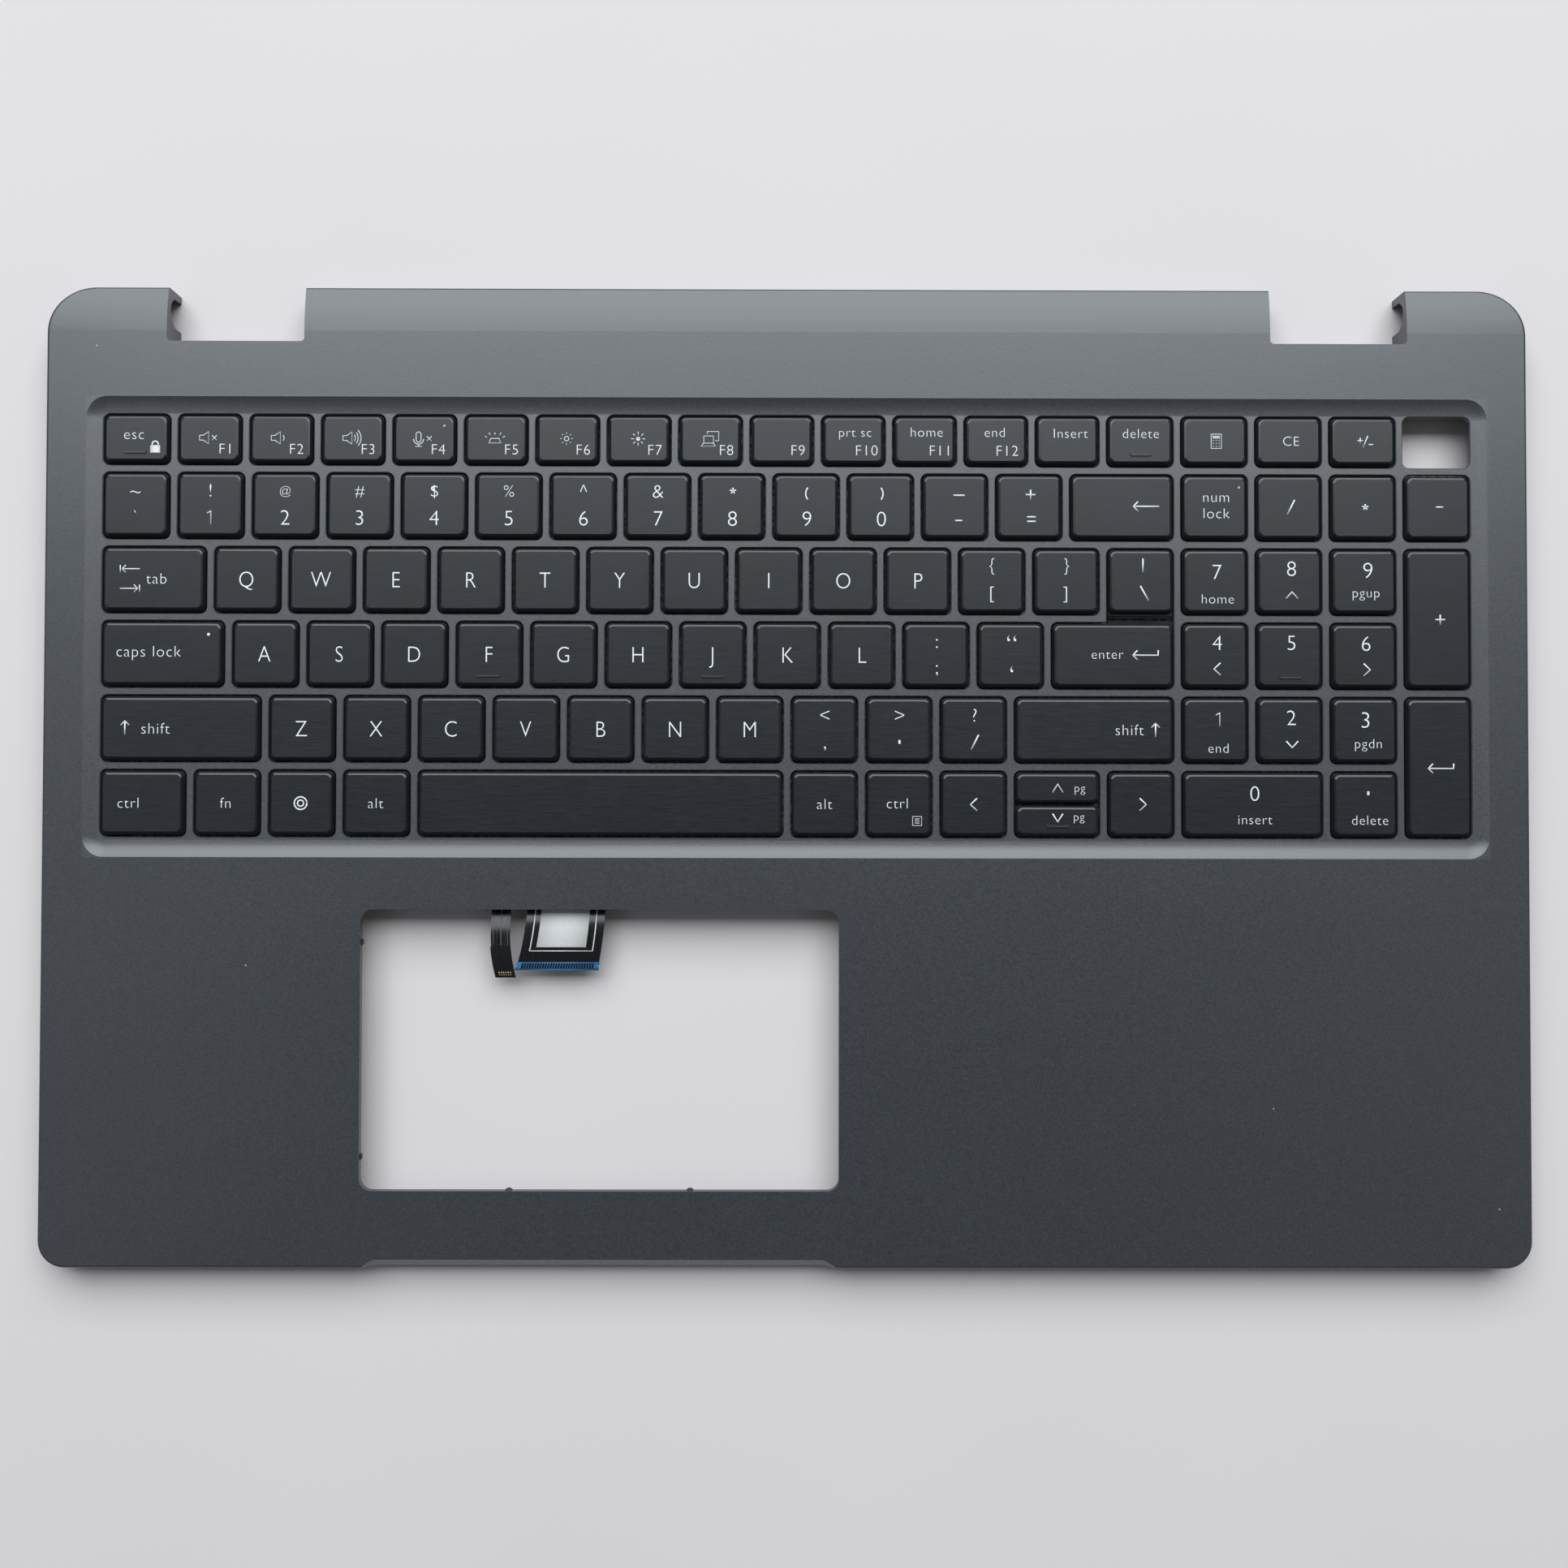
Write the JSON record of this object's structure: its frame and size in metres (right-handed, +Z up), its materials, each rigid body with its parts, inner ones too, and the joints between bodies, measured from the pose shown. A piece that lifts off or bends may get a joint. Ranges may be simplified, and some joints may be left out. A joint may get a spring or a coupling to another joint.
{
  "type": "laptop upper cover with keyboard",
  "caption": "Moulded laptop upper cover with a recessed full keyboard and number pad, an open touchpad window, hinge notches and two ribbon tails.",
  "frame": {"origin": "under the middle of the cover, on the plane that its lower rim stands on", "axes": "+X to the right of the keyboard, +Y to the hinge side, +Z up through the keys"},
  "size_m": [0.3622, 0.239, 0.0091],
  "materials": {
    "cover_plastic": "fine moulded grain, satin",
    "key_plastic": "fine matt coat",
    "plate_steel": "rolled sheet",
    "membrane_film": "printed film",
    "light_panel": "black backing film",
    "screw_steel": "zinc plated",
    "insert_brass": "turned",
    "dome_rubber": "translucent silicone",
    "guide_plastic": "moulded",
    "wire_steel": "drawn wire",
    "ribbon_film": "satin coated film",
    "stiffener_film": "blue film with printed contacts"
  },
  "bodies": {
    "root": {"upper_cover": "cover_plastic", "support_plate": "plate_steel", "switch_membrane": "membrane_film", "backlight_panel": "light_panel", "keyboard_screws": "screw_steel", "threaded_inserts": "insert_brass", "rubber_domes": "dome_rubber", "scissor_guides": "guide_plastic", "stabiliser_wires": "wire_steel", "keyboard_ribbon": "ribbon_film", "ribbon_stiffener": "stiffener_film", "backlight_lead": "ribbon_film", "function_row_keys": "key_plastic", "number_row_keys": "key_plastic", "number_pad_keys": "key_plastic", "modifier_keys": "key_plastic"},
    "key_tab": {"key_tab": "key_plastic"},
    "key_q": {"key_q": "key_plastic"},
    "key_w": {"key_w": "key_plastic"},
    "key_e": {"key_e": "key_plastic"},
    "key_r": {"key_r": "key_plastic"},
    "key_t": {"key_t": "key_plastic"},
    "key_y": {"key_y": "key_plastic"},
    "key_u": {"key_u": "key_plastic"},
    "key_i": {"key_i": "key_plastic"},
    "key_o": {"key_o": "key_plastic"},
    "key_p": {"key_p": "key_plastic"},
    "key_left_bracket": {"key_left_bracket": "key_plastic"},
    "key_right_bracket": {"key_right_bracket": "key_plastic"},
    "key_backslash": {"key_backslash": "key_plastic"},
    "key_caps_lock": {"key_caps_lock": "key_plastic"},
    "key_a": {"key_a": "key_plastic"},
    "key_s": {"key_s": "key_plastic"},
    "key_d": {"key_d": "key_plastic"},
    "key_f": {"key_f": "key_plastic"},
    "key_g": {"key_g": "key_plastic"},
    "key_h": {"key_h": "key_plastic"},
    "key_j": {"key_j": "key_plastic"},
    "key_k": {"key_k": "key_plastic"},
    "key_l": {"key_l": "key_plastic"},
    "key_semicolon": {"key_semicolon": "key_plastic"},
    "key_apostrophe": {"key_apostrophe": "key_plastic"},
    "key_enter": {"key_enter": "key_plastic"},
    "key_left_shift": {"key_left_shift": "key_plastic"},
    "key_z": {"key_z": "key_plastic"},
    "key_x": {"key_x": "key_plastic"},
    "key_c": {"key_c": "key_plastic"},
    "key_v": {"key_v": "key_plastic"},
    "key_b": {"key_b": "key_plastic"},
    "key_n": {"key_n": "key_plastic"},
    "key_m": {"key_m": "key_plastic"},
    "key_comma": {"key_comma": "key_plastic"},
    "key_period": {"key_period": "key_plastic"},
    "key_slash": {"key_slash": "key_plastic"},
    "key_right_shift": {"key_right_shift": "key_plastic"},
    "key_space": {"key_space": "key_plastic"},
    "key_left_arrow": {"key_left_arrow": "key_plastic"},
    "key_up_arrow": {"key_up_arrow": "key_plastic"},
    "key_down_arrow": {"key_down_arrow": "key_plastic"},
    "key_right_arrow": {"key_right_arrow": "key_plastic"}
  },
  "joints": [
    {"name": "key_tab_press", "type": "slide", "parent": "root", "child": "key_tab", "axis": [0, 0, -1], "range_m": [0, 0.0015], "stiffness_N_per_m": 400, "deforming": ["rubber_domes", "scissor_guides", "stabiliser_wires"]},
    {"name": "key_q_press", "type": "slide", "parent": "root", "child": "key_q", "axis": [0, 0, -1], "range_m": [0, 0.0015], "stiffness_N_per_m": 400, "deforming": ["rubber_domes", "scissor_guides", "stabiliser_wires"]},
    {"name": "key_w_press", "type": "slide", "parent": "root", "child": "key_w", "axis": [0, 0, -1], "range_m": [0, 0.0015], "stiffness_N_per_m": 400, "deforming": ["rubber_domes", "scissor_guides", "stabiliser_wires"]},
    {"name": "key_e_press", "type": "slide", "parent": "root", "child": "key_e", "axis": [0, 0, -1], "range_m": [0, 0.0015], "stiffness_N_per_m": 400, "deforming": ["rubber_domes", "scissor_guides", "stabiliser_wires"]},
    {"name": "key_r_press", "type": "slide", "parent": "root", "child": "key_r", "axis": [0, 0, -1], "range_m": [0, 0.0015], "stiffness_N_per_m": 400, "deforming": ["rubber_domes", "scissor_guides", "stabiliser_wires"]},
    {"name": "key_t_press", "type": "slide", "parent": "root", "child": "key_t", "axis": [0, 0, -1], "range_m": [0, 0.0015], "stiffness_N_per_m": 400, "deforming": ["rubber_domes", "scissor_guides", "stabiliser_wires"]},
    {"name": "key_y_press", "type": "slide", "parent": "root", "child": "key_y", "axis": [0, 0, -1], "range_m": [0, 0.0015], "stiffness_N_per_m": 400, "deforming": ["rubber_domes", "scissor_guides", "stabiliser_wires"]},
    {"name": "key_u_press", "type": "slide", "parent": "root", "child": "key_u", "axis": [0, 0, -1], "range_m": [0, 0.0015], "stiffness_N_per_m": 400, "deforming": ["rubber_domes", "scissor_guides", "stabiliser_wires"]},
    {"name": "key_i_press", "type": "slide", "parent": "root", "child": "key_i", "axis": [0, 0, -1], "range_m": [0, 0.0015], "stiffness_N_per_m": 400, "deforming": ["rubber_domes", "scissor_guides", "stabiliser_wires"]},
    {"name": "key_o_press", "type": "slide", "parent": "root", "child": "key_o", "axis": [0, 0, -1], "range_m": [0, 0.0015], "stiffness_N_per_m": 400, "deforming": ["rubber_domes", "scissor_guides", "stabiliser_wires"]},
    {"name": "key_p_press", "type": "slide", "parent": "root", "child": "key_p", "axis": [0, 0, -1], "range_m": [0, 0.0015], "stiffness_N_per_m": 400, "deforming": ["rubber_domes", "scissor_guides", "stabiliser_wires"]},
    {"name": "key_left_bracket_press", "type": "slide", "parent": "root", "child": "key_left_bracket", "axis": [0, 0, -1], "range_m": [0, 0.0015], "stiffness_N_per_m": 400, "deforming": ["rubber_domes", "scissor_guides", "stabiliser_wires"]},
    {"name": "key_right_bracket_press", "type": "slide", "parent": "root", "child": "key_right_bracket", "axis": [0, 0, -1], "range_m": [0, 0.0015], "stiffness_N_per_m": 400, "deforming": ["rubber_domes", "scissor_guides", "stabiliser_wires"]},
    {"name": "key_backslash_press", "type": "slide", "parent": "root", "child": "key_backslash", "axis": [0, 0, -1], "range_m": [0, 0.0015], "stiffness_N_per_m": 400, "deforming": ["rubber_domes", "scissor_guides", "stabiliser_wires"]},
    {"name": "key_caps_lock_press", "type": "slide", "parent": "root", "child": "key_caps_lock", "axis": [0, 0, -1], "range_m": [0, 0.0015], "stiffness_N_per_m": 400, "deforming": ["rubber_domes", "scissor_guides", "stabiliser_wires"]},
    {"name": "key_a_press", "type": "slide", "parent": "root", "child": "key_a", "axis": [0, 0, -1], "range_m": [0, 0.0015], "stiffness_N_per_m": 400, "deforming": ["rubber_domes", "scissor_guides", "stabiliser_wires"]},
    {"name": "key_s_press", "type": "slide", "parent": "root", "child": "key_s", "axis": [0, 0, -1], "range_m": [0, 0.0015], "stiffness_N_per_m": 400, "deforming": ["rubber_domes", "scissor_guides", "stabiliser_wires"]},
    {"name": "key_d_press", "type": "slide", "parent": "root", "child": "key_d", "axis": [0, 0, -1], "range_m": [0, 0.0015], "stiffness_N_per_m": 400, "deforming": ["rubber_domes", "scissor_guides", "stabiliser_wires"]},
    {"name": "key_f_press", "type": "slide", "parent": "root", "child": "key_f", "axis": [0, 0, -1], "range_m": [0, 0.0015], "stiffness_N_per_m": 400, "deforming": ["rubber_domes", "scissor_guides", "stabiliser_wires"]},
    {"name": "key_g_press", "type": "slide", "parent": "root", "child": "key_g", "axis": [0, 0, -1], "range_m": [0, 0.0015], "stiffness_N_per_m": 400, "deforming": ["rubber_domes", "scissor_guides", "stabiliser_wires"]},
    {"name": "key_h_press", "type": "slide", "parent": "root", "child": "key_h", "axis": [0, 0, -1], "range_m": [0, 0.0015], "stiffness_N_per_m": 400, "deforming": ["rubber_domes", "scissor_guides", "stabiliser_wires"]},
    {"name": "key_j_press", "type": "slide", "parent": "root", "child": "key_j", "axis": [0, 0, -1], "range_m": [0, 0.0015], "stiffness_N_per_m": 400, "deforming": ["rubber_domes", "scissor_guides", "stabiliser_wires"]},
    {"name": "key_k_press", "type": "slide", "parent": "root", "child": "key_k", "axis": [0, 0, -1], "range_m": [0, 0.0015], "stiffness_N_per_m": 400, "deforming": ["rubber_domes", "scissor_guides", "stabiliser_wires"]},
    {"name": "key_l_press", "type": "slide", "parent": "root", "child": "key_l", "axis": [0, 0, -1], "range_m": [0, 0.0015], "stiffness_N_per_m": 400, "deforming": ["rubber_domes", "scissor_guides", "stabiliser_wires"]},
    {"name": "key_semicolon_press", "type": "slide", "parent": "root", "child": "key_semicolon", "axis": [0, 0, -1], "range_m": [0, 0.0015], "stiffness_N_per_m": 400, "deforming": ["rubber_domes", "scissor_guides", "stabiliser_wires"]},
    {"name": "key_apostrophe_press", "type": "slide", "parent": "root", "child": "key_apostrophe", "axis": [0, 0, -1], "range_m": [0, 0.0015], "stiffness_N_per_m": 400, "deforming": ["rubber_domes", "scissor_guides", "stabiliser_wires"]},
    {"name": "key_enter_press", "type": "slide", "parent": "root", "child": "key_enter", "axis": [0, 0, -1], "range_m": [0, 0.0015], "stiffness_N_per_m": 400, "deforming": ["rubber_domes", "scissor_guides", "stabiliser_wires"]},
    {"name": "key_left_shift_press", "type": "slide", "parent": "root", "child": "key_left_shift", "axis": [0, 0, -1], "range_m": [0, 0.0015], "stiffness_N_per_m": 400, "deforming": ["rubber_domes", "scissor_guides", "stabiliser_wires"]},
    {"name": "key_z_press", "type": "slide", "parent": "root", "child": "key_z", "axis": [0, 0, -1], "range_m": [0, 0.0015], "stiffness_N_per_m": 400, "deforming": ["rubber_domes", "scissor_guides", "stabiliser_wires"]},
    {"name": "key_x_press", "type": "slide", "parent": "root", "child": "key_x", "axis": [0, 0, -1], "range_m": [0, 0.0015], "stiffness_N_per_m": 400, "deforming": ["rubber_domes", "scissor_guides", "stabiliser_wires"]},
    {"name": "key_c_press", "type": "slide", "parent": "root", "child": "key_c", "axis": [0, 0, -1], "range_m": [0, 0.0015], "stiffness_N_per_m": 400, "deforming": ["rubber_domes", "scissor_guides", "stabiliser_wires"]},
    {"name": "key_v_press", "type": "slide", "parent": "root", "child": "key_v", "axis": [0, 0, -1], "range_m": [0, 0.0015], "stiffness_N_per_m": 400, "deforming": ["rubber_domes", "scissor_guides", "stabiliser_wires"]},
    {"name": "key_b_press", "type": "slide", "parent": "root", "child": "key_b", "axis": [0, 0, -1], "range_m": [0, 0.0015], "stiffness_N_per_m": 400, "deforming": ["rubber_domes", "scissor_guides", "stabiliser_wires"]},
    {"name": "key_n_press", "type": "slide", "parent": "root", "child": "key_n", "axis": [0, 0, -1], "range_m": [0, 0.0015], "stiffness_N_per_m": 400, "deforming": ["rubber_domes", "scissor_guides", "stabiliser_wires"]},
    {"name": "key_m_press", "type": "slide", "parent": "root", "child": "key_m", "axis": [0, 0, -1], "range_m": [0, 0.0015], "stiffness_N_per_m": 400, "deforming": ["rubber_domes", "scissor_guides", "stabiliser_wires"]},
    {"name": "key_comma_press", "type": "slide", "parent": "root", "child": "key_comma", "axis": [0, 0, -1], "range_m": [0, 0.0015], "stiffness_N_per_m": 400, "deforming": ["rubber_domes", "scissor_guides", "stabiliser_wires"]},
    {"name": "key_period_press", "type": "slide", "parent": "root", "child": "key_period", "axis": [0, 0, -1], "range_m": [0, 0.0015], "stiffness_N_per_m": 400, "deforming": ["rubber_domes", "scissor_guides", "stabiliser_wires"]},
    {"name": "key_slash_press", "type": "slide", "parent": "root", "child": "key_slash", "axis": [0, 0, -1], "range_m": [0, 0.0015], "stiffness_N_per_m": 400, "deforming": ["rubber_domes", "scissor_guides", "stabiliser_wires"]},
    {"name": "key_right_shift_press", "type": "slide", "parent": "root", "child": "key_right_shift", "axis": [0, 0, -1], "range_m": [0, 0.0015], "stiffness_N_per_m": 400, "deforming": ["rubber_domes", "scissor_guides", "stabiliser_wires"]},
    {"name": "key_space_press", "type": "slide", "parent": "root", "child": "key_space", "axis": [0, 0, -1], "range_m": [0, 0.0015], "stiffness_N_per_m": 400, "deforming": ["rubber_domes", "scissor_guides", "stabiliser_wires"]},
    {"name": "key_left_arrow_press", "type": "slide", "parent": "root", "child": "key_left_arrow", "axis": [0, 0, -1], "range_m": [0, 0.0015], "stiffness_N_per_m": 400, "deforming": ["rubber_domes", "scissor_guides", "stabiliser_wires"]},
    {"name": "key_up_arrow_press", "type": "slide", "parent": "root", "child": "key_up_arrow", "axis": [0, 0, -1], "range_m": [0, 0.0015], "stiffness_N_per_m": 400, "deforming": ["rubber_domes", "scissor_guides", "stabiliser_wires"]},
    {"name": "key_down_arrow_press", "type": "slide", "parent": "root", "child": "key_down_arrow", "axis": [0, 0, -1], "range_m": [0, 0.0015], "stiffness_N_per_m": 400, "deforming": ["rubber_domes", "scissor_guides", "stabiliser_wires"]},
    {"name": "key_right_arrow_press", "type": "slide", "parent": "root", "child": "key_right_arrow", "axis": [0, 0, -1], "range_m": [0, 0.0015], "stiffness_N_per_m": 400, "deforming": ["rubber_domes", "scissor_guides", "stabiliser_wires"]}
  ]
}
